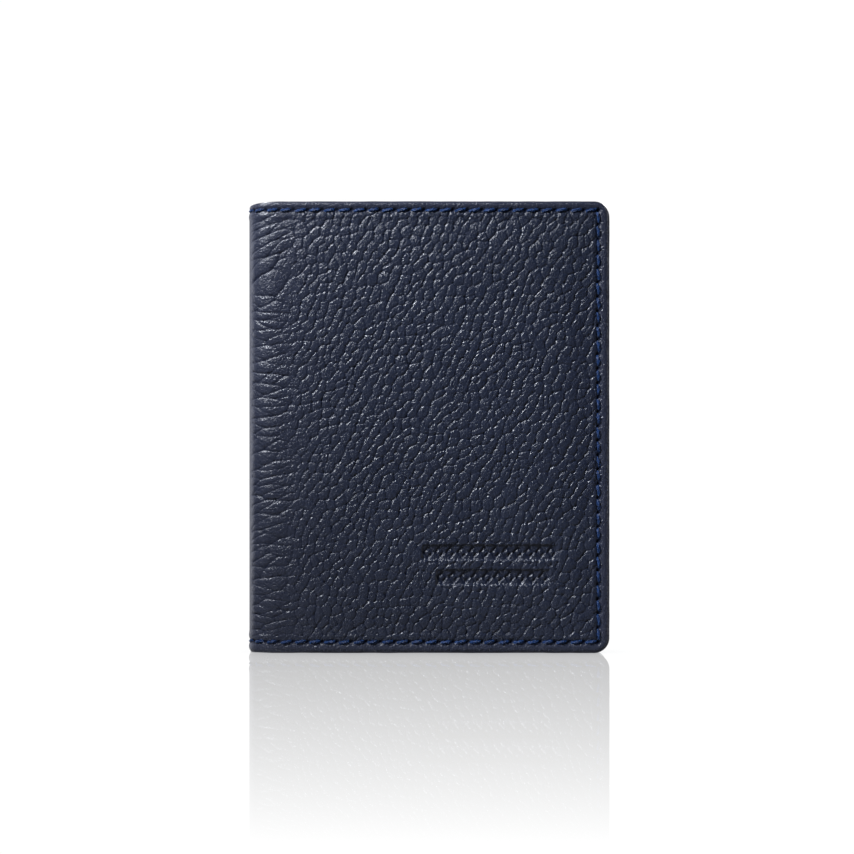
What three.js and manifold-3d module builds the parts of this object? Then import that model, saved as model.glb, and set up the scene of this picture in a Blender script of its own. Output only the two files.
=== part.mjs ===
// Bifold card holder, closed and standing on its bottom edge. Millimetres, +Z up.
//
// The origin is the centre of the closed holder's foot. +X runs from the spine to the opening edge, the
// front cover faces -Y and the back cover faces +Y.
//
// Each panel is a sandwich of leather, board, lining and card pockets, sewn round three sides. A layer's
// place is its depth, which is its distance in from the cover's outer face. The back panel is modelled in
// place, and the front panel is its mirror image. Between them the cover, the lining and the seam run round
// the spine, split at its two folds.

import * as THREE from "three";
import { mergeVertices } from "three/addons/utils/BufferGeometryUtils.js";
import Module from "manifold-3d";

const wasm = await Module();
wasm.setup();

// Closed size
const WIDTH = 80;
const HEIGHT = 100;
const CORNER_RADIUS = 3.5;
const SPINE_REACH = 8; // the spine's curve ends this far from the spine's outer face
const SPINE_DIP = 0.75; // how far the top edge sinks where it turns round the spine
const SPINE_SQUARENESS = 2.4; // exponent of the spine's superellipse: 2 is a half ellipse

// Thicknesses, from the cover's outer face inwards
const COVER = 1.1;
const STIFFENER = 0.3;
const LINING = 0.25;
const SLIP_ROOM = 0.3;
const POCKET_LEATHER = 0.5;
const CARD_ROOM = 0.85;
const CENTRE_GAP = 0.2; // between the facing pockets of the closed holder
const GLUE = 0.05; // between two layers that are glued face to face
const EDGE_COAT = 0.3; // paint over the cut edges

// Pockets, which open towards the spine, for cards that stand on their short edge
const CARD_WIDTH = 54;
const CARD_STANDS_OUT = 11;
const POCKET_STEP = 12;
const SEWN_MARGIN = 3; // the seam takes this much of a pocket's depth

// Seam
const SEAM_INSET = 2.5;
const SEAM_INSET_TOP = 2;
const THREAD_WIDTH = 0.45;
const THREAD_HEIGHT = 0.3;
const THREAD_CLEARANCE = 0.03;
const STOP_THREAD_WIDTH = 0.5;

// The spine is split into its rigid parts along two folds. At each, the curve is as far in from the spine's
// outer face as from the cover's, so that the open holder's covers are flush with its spine.
const FOLD_ANGLE = (49 * Math.PI) / 180;
const FOLD_GAP = 0.4;
const CURVE_STEPS = 6;
const OVERRUN = 1; // how far a cutting shape passes the solid that it cuts
const PRECISION = 1000; // coordinates are rounded to 1 / this, so that faces meant to meet do meet

const stiffenerDepth = COVER + GLUE;
const liningDepth = stiffenerDepth + STIFFENER + GLUE;
const liningEnd = liningDepth + LINING;
const slipDepth = liningEnd + SLIP_ROOM;
const slipEnd = slipDepth + POCKET_LEATHER;
const middlePocketDepth = slipEnd + CARD_ROOM;
const middlePocketEnd = middlePocketDepth + POCKET_LEATHER;
const innerPocketDepth = middlePocketEnd + CARD_ROOM;
const innerPocketEnd = innerPocketDepth + POCKET_LEATHER;
const halfThickness = innerPocketEnd + CENTRE_GAP / 2;

const openingEdge = WIDTH / 2;
const flatStart = -WIDTH / 2 + SPINE_REACH; // where the flat panel ends and the spine's curve begins
const pocketFloor = openingEdge - SEWN_MARGIN;
const innerPocketMouth = pocketFloor - CARD_WIDTH + CARD_STANDS_OUT;
const middlePocketMouth = innerPocketMouth - POCKET_STEP;
const slipMouth = middlePocketMouth - POCKET_STEP;
const middlePocketStop = pocketFloor - POCKET_STEP;
const foldGapAngle = FOLD_GAP / 2 / halfThickness;

const seamX = openingEdge - SEAM_INSET;
const seamHeights = [HEIGHT - SEAM_INSET_TOP, SEAM_INSET];
const grooveWidth = THREAD_WIDTH + 2 * THREAD_CLEARANCE;
const grooveDepth = THREAD_HEIGHT + 2 * THREAD_CLEARANCE;

// Materials

const material = (color, roughness) =>
  new THREE.MeshStandardMaterial({ color, roughness, metalness: 0 });
const pebbledLeather = material(0x262b3b, 0.55);
const pocketLeather = material(0x242937, 0.6);
const board = material(0x6b5a45, 0.9);
const twill = material(0x1d2231, 0.85);
const thread = material(0x24508c, 0.6);
const edgePaint = material(0x2b2f42, 0.35);

// Solids

function solid(geometry) {
  const bare = geometry.clone();
  bare.deleteAttribute("normal");
  bare.deleteAttribute("uv");
  const points = bare.attributes.position.array;
  points.forEach((value, i) => (points[i] = Math.round(value * PRECISION) / PRECISION));
  const merged = mergeVertices(bare, 0.5 / PRECISION);
  return new wasm.Manifold(
    new wasm.Mesh({
      numProp: 3,
      vertProperties: merged.attributes.position.array,
      triVerts: new Uint32Array(merged.index.array),
    }),
  );
}

function meshOf(name, body, look) {
  const { vertProperties, triVerts } = body.getMesh();
  const geometry = new THREE.BufferGeometry();
  geometry.setAttribute("position", new THREE.BufferAttribute(vertProperties, 3));
  geometry.setIndex(new THREE.BufferAttribute(triVerts, 1));
  geometry.computeVertexNormals();
  const mesh = new THREE.Mesh(geometry, look);
  mesh.name = name;
  return mesh;
}

const extrude = (shape, depth) =>
  new THREE.ExtrudeGeometry(shape, { depth, bevelEnabled: false, curveSegments: CURVE_STEPS });

// A shape drawn in X and Z, as the panel is seen from the front, made solid between two depths.
function slab(shape, from, to) {
  const geometry = extrude(shape, to - from).rotateX(Math.PI / 2);
  return solid(geometry.translate(0, halfThickness - from, 0));
}

// A shape drawn in X and Y, as the holder is seen from above, made solid between two heights.
function column(shape, bottom, top) {
  return solid(extrude(shape, top - bottom).translate(0, 0, bottom));
}

function block(x0, x1, depth0, depth1, z0, z1) {
  const geometry = new THREE.BoxGeometry(x1 - x0, depth1 - depth0, z1 - z0);
  const y = halfThickness - (depth0 + depth1) / 2;
  return solid(geometry.translate((x0 + x1) / 2, y, (z0 + z1) / 2));
}

const join = (bodies) => bodies.reduce((sum, body) => sum.add(body));

// Shapes

// The panel from the front, shrunk by an inset. It runs on past the spine, where the curved layers end.
function outline(inset) {
  const right = openingEdge - inset;
  const top = HEIGHT - inset;
  const radius = CORNER_RADIUS - inset;
  const left = -WIDTH / 2;
  const shape = new THREE.Shape();
  shape.moveTo(left - OVERRUN, inset);
  shape.lineTo(right - radius, inset);
  shape.absarc(right - radius, inset + radius, radius, -Math.PI / 2, 0);
  shape.absarc(right - radius, top - radius, radius, 0, Math.PI / 2);
  shape.lineTo(flatStart, top);
  shape.quadraticCurveTo((flatStart + 3 * left) / 4, top, left, top - SPINE_DIP);
  shape.lineTo(left - OVERRUN, top - SPINE_DIP);
  return shape;
}

// A point of the spine at a depth. The angle is 0 where the back panel's flat part ends, and a half turn at
// the front's.
function spinePoint(angle, depth) {
  const n = SPINE_SQUARENESS;
  const [sine, cosine] = [Math.sin(angle), Math.cos(angle)];
  const stretch = (Math.abs(sine) ** n + Math.abs(cosine) ** n) ** (-1 / n);
  const x = flatStart - (SPINE_REACH - depth) * stretch * sine;
  return new THREE.Vector2(x, (halfThickness - depth) * stretch * cosine);
}

function spineCurve(from, to, depth) {
  const step = (to - from) / CURVE_STEPS;
  return Array.from({ length: CURVE_STEPS + 1 }, (_, i) => spinePoint(from + i * step, depth));
}

// A curved layer between two angles and two depths.
function spineBand(from, to, depth0, depth1) {
  return new THREE.Shape([...spineCurve(from, to, depth0), ...spineCurve(to, from, depth1)]);
}

// The back panel's share of a layer that goes on round the spine: its flat part, from end, and its curve up
// to the fold. inside lists the points of the layer's inner side, from the curve to end, where it isn't
// straight.
function panelBand(end, depth0, depth1, fold = FOLD_ANGLE - foldGapAngle, inside = []) {
  const innerEnd = inside.length ? inside.at(-1).y : halfThickness - depth1;
  return new THREE.Shape([
    new THREE.Vector2(end, halfThickness - depth0),
    ...spineCurve(0, fold, depth0),
    ...spineCurve(fold, 0, depth1),
    ...inside,
    new THREE.Vector2(end, innerEnd),
  ]);
}

const panelCut = (inset) => slab(outline(inset), -OVERRUN, 2 * halfThickness + OVERRUN);
const insidePanel = panelCut(EDGE_COAT);
const coatRing = panelCut(0).subtract(panelCut(EDGE_COAT - THREAD_CLEARANCE));
const beyondEdge = openingEdge + OVERRUN;

// Sewn lines

// The seam's line on the flat panel, between two depths: along the top, down the opening edge and back.
function seamLine(from, width, depth0, depth1) {
  const half = width / 2;
  const [top, bottom] = seamHeights;
  const corners = [
    [from, top + half],
    [from, top - half],
    [seamX - half, top - half],
    [seamX - half, bottom + half],
    [from, bottom + half],
    [from, bottom - half],
    [seamX + half, bottom - half],
    [seamX + half, top + half],
  ];
  return slab(new THREE.Shape(corners.map(([x, z]) => new THREE.Vector2(x, z))), depth0, depth1);
}

// The needle thread's line, on the cover's outer face: the flat seam, and its ends up to an angle of the
// spine.
function needleLine(width, depth0, depth1, angle) {
  const half = width / 2;
  const ends = seamHeights.map((z) => column(spineBand(0, angle, depth0, depth1), z - half, z + half));
  return join([seamLine(flatStart, width, depth0, depth1), ...ends]);
}

// The stack grows by a step at each pocket's mouth.
const pocketSteps = [
  { mouth: slipMouth, surface: slipEnd },
  { mouth: middlePocketMouth, surface: middlePocketEnd },
  { mouth: innerPocketMouth, surface: innerPocketEnd },
];

// One side of the bobbin thread, from above: a staircase, sunk below the surface, whose risers stand at a
// distance before each mouth.
function staircase(distance, sink) {
  const start = liningEnd + THREAD_CLEARANCE + THREAD_HEIGHT;
  const points = [new THREE.Vector2(flatStart, halfThickness - start + sink)];
  for (const { mouth, surface } of pocketSteps) {
    const x = mouth - distance;
    points.push(new THREE.Vector2(x, points.at(-1).y));
    points.push(new THREE.Vector2(x, halfThickness - surface + sink));
  }
  return points;
}

// The bobbin thread climbs the pockets' steps, and then goes round the innermost leaf.
function bobbinThread() {
  const from = innerPocketMouth - THREAD_CLEARANCE;
  const climb = new THREE.Shape([
    ...staircase(THREAD_CLEARANCE + THREAD_HEIGHT, 0),
    new THREE.Vector2(from, halfThickness - innerPocketEnd),
    ...staircase(THREAD_CLEARANCE, THREAD_HEIGHT).reverse(),
  ]);
  const half = THREAD_WIDTH / 2;
  const climbs = seamHeights.map((z) => column(climb, z - half, z + half));
  return join([seamLine(from, THREAD_WIDTH, innerPocketEnd - THREAD_HEIGHT, innerPocketEnd), ...climbs]);
}

// The channel that the bobbin thread lies in, cut into a pocket's leaf from its mouth to the next mouth.
function bobbinGroove(mouth, end, surface) {
  const depth0 = surface - THREAD_HEIGHT - THREAD_CLEARANCE;
  const half = grooveWidth / 2;
  return seamHeights.map((z) => block(mouth - OVERRUN, end, depth0, surface + OVERRUN, z - half, z + half));
}

// Panel layers

// A pocket panel: a leaf of leather, open towards the spine and sewn through on its other three sides. The
// real leaf is pressed down at the seam. Here it stays flat, clear of the card behind it, and the paint
// closes the sides.
function pocketPanel(mouth, depth, grooves) {
  const leather = slab(outline(EDGE_COAT), depth, depth + POCKET_LEATHER);
  const spineSide = block(-WIDTH, mouth, 0, 2 * halfThickness, -OVERRUN, HEIGHT + OVERRUN);
  return leather.subtract(join([spineSide, ...grooves]));
}

function coverPanel() {
  const groove = needleLine(grooveWidth, -OVERRUN, grooveDepth, FOLD_ANGLE);
  const whole = column(panelBand(beyondEdge, 0, COVER), -OVERRUN, HEIGHT + OVERRUN);
  return whole.intersect(insidePanel).subtract(groove);
}

function liningPanel() {
  const whole = column(panelBand(beyondEdge, liningDepth, liningEnd), -OVERRUN, HEIGHT + OVERRUN);
  return whole.intersect(insidePanel);
}

function stiffenerPanel() {
  const whole = slab(outline(EDGE_COAT), stiffenerDepth, stiffenerDepth + STIFFENER);
  const spineSide = block(-WIDTH, flatStart, 0, 2 * halfThickness, -OVERRUN, HEIGHT + OVERRUN);
  return whole.subtract(spineSide);
}

// The paint over the cut edges of every layer, from the fold round to the fold.
function edgeCoat() {
  const stairs = [];
  let last = liningEnd;
  for (const { mouth, surface } of pocketSteps) {
    stairs.push(new THREE.Vector2(mouth, halfThickness - last));
    stairs.push(new THREE.Vector2(mouth, halfThickness - surface));
    last = surface;
  }
  const fold = FOLD_ANGLE - foldGapAngle;
  const stack = panelBand(beyondEdge, 0, liningEnd, fold, stairs);
  return column(stack, -OVERRUN, HEIGHT + OVERRUN).intersect(coatRing);
}

// The row of stitches that closes the middle pocket at a card's width, between its leaf and the slip
// pocket's.
function stopThread() {
  const end = middlePocketStop + STOP_THREAD_WIDTH;
  const [depth0, depth1] = [slipEnd + GLUE, middlePocketDepth - GLUE];
  return block(middlePocketStop, end, depth0, depth1, SEWN_MARGIN, HEIGHT - SEWN_MARGIN);
}

function panel(side) {
  const slipGrooves = bobbinGroove(slipMouth, middlePocketMouth, slipEnd);
  const middleGrooves = bobbinGroove(middlePocketMouth, innerPocketMouth, middlePocketEnd);
  const innerGroove = seamLine(
    innerPocketMouth - OVERRUN, grooveWidth, innerPocketEnd - THREAD_HEIGHT - THREAD_CLEARANCE,
    innerPocketEnd + OVERRUN,
  );
  const threadEnd = THREAD_CLEARANCE + THREAD_HEIGHT;
  const foldEnd = FOLD_ANGLE - foldGapAngle;
  const pocket = (name, mouth, depth, grooves) =>
    meshOf(`${side}_${name}_pocket`, pocketPanel(mouth, depth, grooves), pocketLeather);
  const group = new THREE.Group();
  group.add(
    meshOf(`${side}_cover`, coverPanel(), pebbledLeather),
    meshOf(`${side}_stiffener`, stiffenerPanel(), board),
    meshOf(`${side}_lining`, liningPanel(), twill),
    pocket("slip", slipMouth, slipDepth, slipGrooves),
    pocket("middle_card", middlePocketMouth, middlePocketDepth, middleGrooves),
    pocket("inner_card", innerPocketMouth, innerPocketDepth, [innerGroove]),
    meshOf(`${side}_pocket_stop_thread`, stopThread(), thread),
    meshOf(`${side}_needle_thread`, needleLine(THREAD_WIDTH, THREAD_CLEARANCE, threadEnd, foldEnd), thread),
    meshOf(`${side}_bobbin_thread`, bobbinThread(), thread),
    meshOf(`${side}_edge_coat`, edgeCoat(), edgePaint),
  );
  return group;
}

// Spine

function spine() {
  const from = FOLD_ANGLE + foldGapAngle;
  const to = Math.PI - from;
  const layer = (depth0, depth1) =>
    column(spineBand(from, to, depth0, depth1), -OVERRUN, HEIGHT + OVERRUN).intersect(insidePanel);
  const threadAt = (z, depth) =>
    column(spineBand(from, to, depth, depth + THREAD_HEIGHT), z - THREAD_WIDTH / 2, z + THREAD_WIDTH / 2);
  const grooveBand = spineBand(FOLD_ANGLE, Math.PI - FOLD_ANGLE, -OVERRUN, grooveDepth);
  const grooves = seamHeights.map((z) => column(grooveBand, z - grooveWidth / 2, z + grooveWidth / 2));
  const coat = (bottom, top) => column(spineBand(from, to, 0, liningEnd), bottom, top).intersect(coatRing);
  const [topSeam, bottomSeam] = seamHeights;
  const bobbinDepth = liningEnd + THREAD_CLEARANCE;
  const group = new THREE.Group();
  group.add(
    meshOf("spine_cover", layer(0, COVER).subtract(join(grooves)), pebbledLeather),
    meshOf("spine_lining", layer(liningDepth, liningEnd), twill),
    meshOf("spine_needle_thread_top", threadAt(topSeam, THREAD_CLEARANCE), thread),
    meshOf("spine_needle_thread_bottom", threadAt(bottomSeam, THREAD_CLEARANCE), thread),
    meshOf("spine_bobbin_thread_top", threadAt(topSeam, bobbinDepth), thread),
    meshOf("spine_bobbin_thread_bottom", threadAt(bottomSeam, bobbinDepth), thread),
    meshOf("spine_edge_coat_top", coat(HEIGHT / 2, HEIGHT + OVERRUN), edgePaint),
    meshOf("spine_edge_coat_bottom", coat(-OVERRUN, HEIGHT / 2), edgePaint),
  );
  return group;
}

const cardHolder = new THREE.Group();
const frontPanel = panel("front");
frontPanel.scale.y = -1;
cardHolder.add(panel("back"), frontPanel, spine());

export default cardHolder;
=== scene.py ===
# A bifold card holder of navy pebbled leather, standing closed on its foot, with its spine at -X.
#
# Shapes are worked out in millimetres on the flattened panel, and then wrapped round the spine. On the panel,
# u runs from the middle of the spine to the opening edge, z runs up, and depth runs inwards from the cover's
# outer face. side is -1 for the front panel and 1 for the back one.

import math

import bpy
import numpy as np
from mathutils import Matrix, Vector


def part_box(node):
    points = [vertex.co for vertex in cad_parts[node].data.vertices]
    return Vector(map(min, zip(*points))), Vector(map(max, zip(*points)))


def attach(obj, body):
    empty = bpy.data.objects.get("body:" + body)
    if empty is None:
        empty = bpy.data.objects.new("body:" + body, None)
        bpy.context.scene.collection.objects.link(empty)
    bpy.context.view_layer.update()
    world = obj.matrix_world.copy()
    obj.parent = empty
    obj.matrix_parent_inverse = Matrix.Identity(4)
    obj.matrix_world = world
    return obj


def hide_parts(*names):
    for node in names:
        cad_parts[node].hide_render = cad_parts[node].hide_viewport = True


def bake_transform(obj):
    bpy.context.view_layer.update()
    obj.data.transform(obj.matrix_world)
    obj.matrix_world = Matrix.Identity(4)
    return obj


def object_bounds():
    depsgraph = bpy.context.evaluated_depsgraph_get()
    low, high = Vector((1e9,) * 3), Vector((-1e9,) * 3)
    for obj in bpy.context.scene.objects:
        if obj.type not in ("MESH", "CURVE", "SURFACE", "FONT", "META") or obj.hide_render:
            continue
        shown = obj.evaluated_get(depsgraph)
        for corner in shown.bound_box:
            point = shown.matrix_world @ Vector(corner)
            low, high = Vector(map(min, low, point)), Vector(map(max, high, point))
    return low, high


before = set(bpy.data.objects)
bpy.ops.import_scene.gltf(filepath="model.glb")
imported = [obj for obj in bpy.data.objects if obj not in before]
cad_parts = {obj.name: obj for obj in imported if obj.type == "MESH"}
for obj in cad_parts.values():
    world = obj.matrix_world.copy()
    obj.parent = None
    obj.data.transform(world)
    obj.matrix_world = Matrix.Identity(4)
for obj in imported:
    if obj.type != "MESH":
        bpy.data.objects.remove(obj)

MM = 0.001
UV_SCALE = 0.01  # UV coordinates are millimetres on the panel times this
cad_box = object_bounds()


# Sizes, from the frame where it has them


def corners(node):
    low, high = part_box(node)
    return np.array(low) / MM, np.array(high) / MM


def front_depths(node):
    """How deep a node of the front panel begins and ends."""
    low, high = corners(node)
    return HALF + low[1], HALF + high[1]


box_low, box_high = (np.array(corner) / MM for corner in cad_box)
HALF = box_high[1]
HEIGHT = box_high[2]
SPINE_X, EDGE_X = box_low[0], box_high[0]
FLAT_X = corners("front_stiffener")[0][0]  # where the spine's curve ends and the flat panel begins
REACH = FLAT_X - SPINE_X
COAT = EDGE_X - corners("front_cover")[1][0]  # the paint's thickness on the cut edge
CORNER = 3.5
SPINE_DIP = 0.75  # how far the top edge sinks at the spine
SQUARENESS = 2.3  # of the spine's curve: 2 is an ellipse, and more is squarer
SPINE_FALL = 0.4  # how much thinner the leather is pared beside the spine
SPINE_FALL_LENGTH = 6.0
CROWN = 0.35  # how far the leather stands up inside the seam
CROWN_LENGTH = 5.0

COVER_END = front_depths("front_stiffener")[0] - 0.05
LINING_START = front_depths("front_lining")[0]
LINING_END = LINING_START + 0.25
POCKETS = ["slip_pocket", "middle_card_pocket", "inner_card_pocket"]

SEAM_INSET = 2.5
SEAM_INSET_TOP = 2.0
STITCH_PITCH = 3.2
STITCH_LENGTH = 2.5
STITCH_SLANT = 0.2
THREAD_RADIUS = 0.32
SUNK_AT_SPINE = 0.24  # how much deeper the stitches lie where they cross the spine

SEEDS = {-1: 11, 1: 47}  # for the noise on each side


# The spine's curve, and the way from the flat panel to the holder


def smooth(t):
    t = np.clip(t, 0, 1)
    return t * t * (3 - 2 * t)


def spine_radius(angle):
    sine, cosine = np.abs(np.sin(angle)), np.abs(np.cos(angle))
    return (sine**SQUARENESS + cosine**SQUARENESS) ** (-1 / SQUARENESS)


ANGLES = np.linspace(math.pi / 2, 0, 600)
curve = spine_radius(ANGLES)[:, None] * np.stack([REACH * np.sin(ANGLES), HALF * np.cos(ANGLES)], 1)
ARC_LENGTHS = np.concatenate([[0], np.cumsum(np.linalg.norm(np.diff(curve, axis=0), axis=1))])
ARC = ARC_LENGTHS[-1]
U_EDGE = ARC + EDGE_X - FLAT_X
U_SEAM = U_EDGE - SEAM_INSET
Z_SEAM_TOP = HEIGHT - SEAM_INSET_TOP
Z_SEAM_FOOT = SEAM_INSET


def u_of(x):
    return ARC + x - FLAT_X


def fall(u):
    """How far the cover's leather, pared thinner there, falls away beside the spine."""
    past = np.maximum(np.abs(u) - ARC, 0)
    return SPINE_FALL * smooth(np.abs(u) / ARC) * np.exp(-(past**2) / (past + 1.5) / SPINE_FALL_LENGTH)


def wrap(u, z, depth, side):
    """The points, in metres, of places on the panel. A u below 0 is past the middle of the spine."""
    u, z, depth = np.broadcast_arrays(u, z, depth)
    depth = depth + fall(u) * np.clip(1 - depth / COVER_END, 0, 1)
    angle = np.interp(np.abs(u), ARC_LENGTHS, ANGLES)
    angle = np.where(u < 0, math.pi - angle, angle)
    radius = spine_radius(angle)
    x = FLAT_X - (REACH - depth) * radius * np.sin(angle) + np.maximum(u - ARC, 0)
    y = side * (HALF - depth) * radius * np.cos(angle)
    return np.stack([x, y, z], -1) * MM


def dip(u):
    """How far the top edge sinks towards the spine."""
    t = np.linspace(0, 1, 60)
    x = (1 - t) ** 2 * FLAT_X + 2 * t * (1 - t) * (FLAT_X + 3 * SPINE_X) / 4 + t**2 * SPINE_X
    here = wrap(u, 0.0, 0.0, 1)[..., 0] / MM
    return np.interp(-here, -x, SPINE_DIP * t**2)


def fit_outline(u, z, inset):
    """Moves a rectangular grid's corners onto the rounded outline, and its top onto the spine's dip."""
    radius = CORNER - inset
    start_u = U_EDGE - inset - radius
    low_z = inset + radius
    high_z = HEIGHT - inset - radius
    along = np.clip((u - start_u) / radius, 0, 1)
    below = np.clip((low_z - z) / radius, 0, 1)
    above = np.clip((z - high_z) / radius, 0, 1)
    across = below + above
    inside = (along > 0) & (across > 0)
    shrink = np.where(inside, np.maximum(along, across) / np.maximum(np.hypot(along, across), 1e-9), 1.0)
    u = np.where(along > 0, start_u + along * shrink * radius, u)
    z = np.where(below > 0, low_z - below * shrink * radius, z)
    z = np.where(above > 0, high_z + above * shrink * radius, z)
    share = np.clip(z / HEIGHT, 0, 1)
    return u, z - dip(u) * share**12


# Noise


def hashed(i, j, salt):
    """A number from 0 to 1 for each pair of whole numbers."""
    mask = 0xFFFFFFFF
    n = (i.astype(np.int64) * 374761393 + j.astype(np.int64) * 668265263 + salt * 224682251) & mask
    n = ((n ^ (n >> 13)) * 1274126177) & mask
    n = ((n ^ (n >> 15)) * 1911520717) & mask
    return ((n ^ (n >> 16)) & 0xFFFFFF) / 0xFFFFFF


def noise(x, y, size, salt):
    """Smooth noise from -1 to 1, with bumps about size wide."""
    x, y = x / size, y / size
    i, j = np.floor(x), np.floor(y)
    fx, fy = smooth(x - i), smooth(y - j)
    low = hashed(i, j, salt) * (1 - fx) + hashed(i + 1, j, salt) * fx
    high = hashed(i, j + 1, salt) * (1 - fx) + hashed(i + 1, j + 1, salt) * fx
    return 2 * (low * (1 - fy) + high * fy) - 1


def cell_seed(i, j, salt, jitter):
    """The place of the seed of the cell in column i and row j, and the cell's own number from 0 to 1."""
    x = i + 0.5 * (j % 2) + 0.5 + jitter * (hashed(i, j, salt) - 0.5)
    y = j + 0.5 + jitter * (hashed(i, j, salt + 1) - 0.5)
    return x, y, hashed(i, j, salt + 2)


def cells(x, y, size, salt, jitter, widths):
    """Irregular cells about size wide.

    Gives how far each place is from the middle of its cell, about 1 at the edge, and how much it is in the
    creases round the cell, for each of some crease widths.
    """
    gx, gy = x / size, y / size
    column, row = np.floor(gx), np.floor(gy)
    around = [(i, j) for j in range(-2, 3) for i in range(-2, 3)]
    seeds = [cell_seed(column + i, row + j, salt, jitter) for i, j in around]
    squares = [(gx - seed_x) ** 2 + (gy - seed_y) ** 2 for seed_x, seed_y, _ in seeds]
    nearest = np.argmin(squares, axis=0)
    own_x, own_y, own_key = (np.choose(nearest, values) for values in zip(*seeds))
    own_square = np.min(squares, axis=0)
    creased = [np.zeros(gx.shape) for _ in widths]
    for (seed_x, seed_y, key), square in zip(seeds, squares):
        apart = np.hypot(seed_x - own_x, seed_y - own_y)
        is_other = apart > 1e-6
        edge = (square - own_square) / (2 * np.where(is_other, apart, 1.0)) * size
        chance = ((key + own_key) * 7.31) % 1.0
        strength = is_other * np.where(chance < 0.12, 0.3, 0.6 + 0.4 * chance)
        strength = strength * (0.6 + 0.4 * np.abs(seed_y - own_y) / np.where(is_other, apart, 1.0))
        for total, width in zip(creased, widths):
            total += strength * np.exp(-edge / width)
    return np.sqrt(own_square) / 0.56, creased


# Meshes

SHARP_ANGLE = math.radians(75)


def make_mesh(name, points, faces, uv, look, attributes=None):
    mesh = bpy.data.meshes.new(name)
    mesh.from_pydata(points.reshape(-1, 3).tolist(), [], faces)
    mesh.update()
    layer = mesh.uv_layers.new(name="panel")
    corner = np.zeros(len(mesh.loops), np.int32)
    mesh.loops.foreach_get("vertex_index", corner)
    flat_uv = np.asarray(uv, float).reshape(-1, 2)[corner]
    layer.data.foreach_set("uv", flat_uv.astype(np.float32).ravel())
    for label, values in (attributes or {}).items():
        attribute = mesh.attributes.new(label, "FLOAT", "POINT")
        attribute.data.foreach_set("value", np.asarray(values, np.float32).ravel())
    mesh.polygons.foreach_set("use_smooth", np.ones(len(mesh.polygons), bool))
    mesh.set_sharp_from_angle(angle=SHARP_ANGLE)
    mesh.materials.append(look)
    piece = bpy.data.objects.new(name, mesh)
    bpy.context.scene.collection.objects.link(piece)
    return piece


def sheet(name, us, zs, inset, side, faces_of, look, inner_columns=None, attributes_of=None):
    """A closed sheet over the panel. faces_of gives the depth of its outer and its inner face.

    The inner face has only some of the outer face's columns where inner_columns lists them.
    """
    u, z = np.meshgrid(us, zs)
    u, z = fit_outline(u, z, inset)
    outer_depth, inner_depth = faces_of(u, z)
    rows, columns = u.shape
    kept = np.arange(columns) if inner_columns is None else np.asarray(inner_columns)
    outer = wrap(u, z, outer_depth, side)
    inner = wrap(u[:, kept], z[:, kept], inner_depth[:, kept], side)
    points = np.concatenate([outer.reshape(-1, 3), inner.reshape(-1, 3)])
    uv = np.concatenate([
        np.stack([side * u, z], -1).reshape(-1, 2),
        np.stack([side * u[:, kept], z[:, kept]], -1).reshape(-1, 2),
    ]) * UV_SCALE
    out_index = np.arange(rows * columns).reshape(rows, columns)
    in_index = rows * columns + np.arange(rows * len(kept)).reshape(rows, len(kept))

    def quads(index):
        parts = [index[:-1, :-1], index[:-1, 1:], index[1:, 1:], index[1:, :-1]]
        return np.stack(parts, -1).reshape(-1, 4)

    faces = quads(out_index).tolist() + quads(in_index)[:, ::-1].tolist()
    for k in range(len(kept) - 1):
        first, last = kept[k], kept[k + 1]
        foot = out_index[0, first : last + 1].tolist()
        top = out_index[-1, first : last + 1].tolist()
        faces.append(foot[::-1] + [int(in_index[0, k]), int(in_index[0, k + 1])])
        faces.append(top + [int(in_index[-1, k + 1]), int(in_index[-1, k])])
    for j in range(rows - 1):
        left = [out_index[j, 0], out_index[j + 1, 0], in_index[j + 1, 0], in_index[j, 0]]
        right = [out_index[j + 1, -1], out_index[j, -1], in_index[j, -1], in_index[j + 1, -1]]
        faces.append([int(v) for v in left])
        faces.append([int(v) for v in right])
    if side > 0:
        faces = [face[::-1] for face in faces]
    attributes = None
    if attributes_of:
        attributes = {}
        for label, values in attributes_of(u, z).items():
            attributes[label] = np.concatenate([values.ravel(), values[:, kept].ravel()])
    return make_mesh(name, points, faces, uv, look, attributes)


def steps(start, end, size):
    return np.linspace(start, end, max(2, round((end - start) / size) + 1))


def fine_ends(start, end, fine, coarse, first, last):
    """Steps that are fine for a length at the first and at the last end, and coarse in between."""
    lead = steps(start, start + first, fine)
    middle = steps(start + first, end - last, coarse)
    tail = steps(end - last, end, fine)
    return np.concatenate([lead[:-1], middle[:-1], tail])


# Places on the panel


def edge_distance(u, z):
    """How far a place is in from the cover's rounded outline."""
    along = u - (U_EDGE - CORNER)
    top = HEIGHT - dip(u)
    across = np.abs(z - top / 2) - (top / 2 - CORNER)
    outside = np.hypot(np.maximum(along, 0), np.maximum(across, 0))
    return CORNER - outside - np.minimum(np.maximum(along, across), 0)


def seam_distance(u, z):
    """How far a place is from the seam's line, negative inside it."""
    along = u - U_SEAM
    middle, half = (Z_SEAM_TOP + Z_SEAM_FOOT) / 2, (Z_SEAM_TOP - Z_SEAM_FOOT) / 2
    across = np.abs(z - middle) - half
    outside = np.hypot(np.maximum(along, 0), np.maximum(across, 0))
    return outside + np.minimum(np.maximum(along, across), 0)


def seam_legs():
    """The seam's three legs: a start, a direction, a direction to its left, and a length."""
    start = np.array([0.0, Z_SEAM_TOP])
    turn = np.array([U_SEAM, Z_SEAM_TOP])
    foot = np.array([U_SEAM, Z_SEAM_FOOT])
    end = np.array([0.0, Z_SEAM_FOOT])
    for a, b in [(start, turn), (turn, foot), (foot, end)]:
        length = np.linalg.norm(b - a)
        along = (b - a) / length
        yield a, along, np.array([-along[1], along[0]]), length


def needle_holes():
    holes = []
    for start, along, _, length in seam_legs():
        count = round(length / STITCH_PITCH)
        holes += [start + along * length * i / count for i in range(count + 1)]
    return np.array(holes)


# The cover's leather

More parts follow.
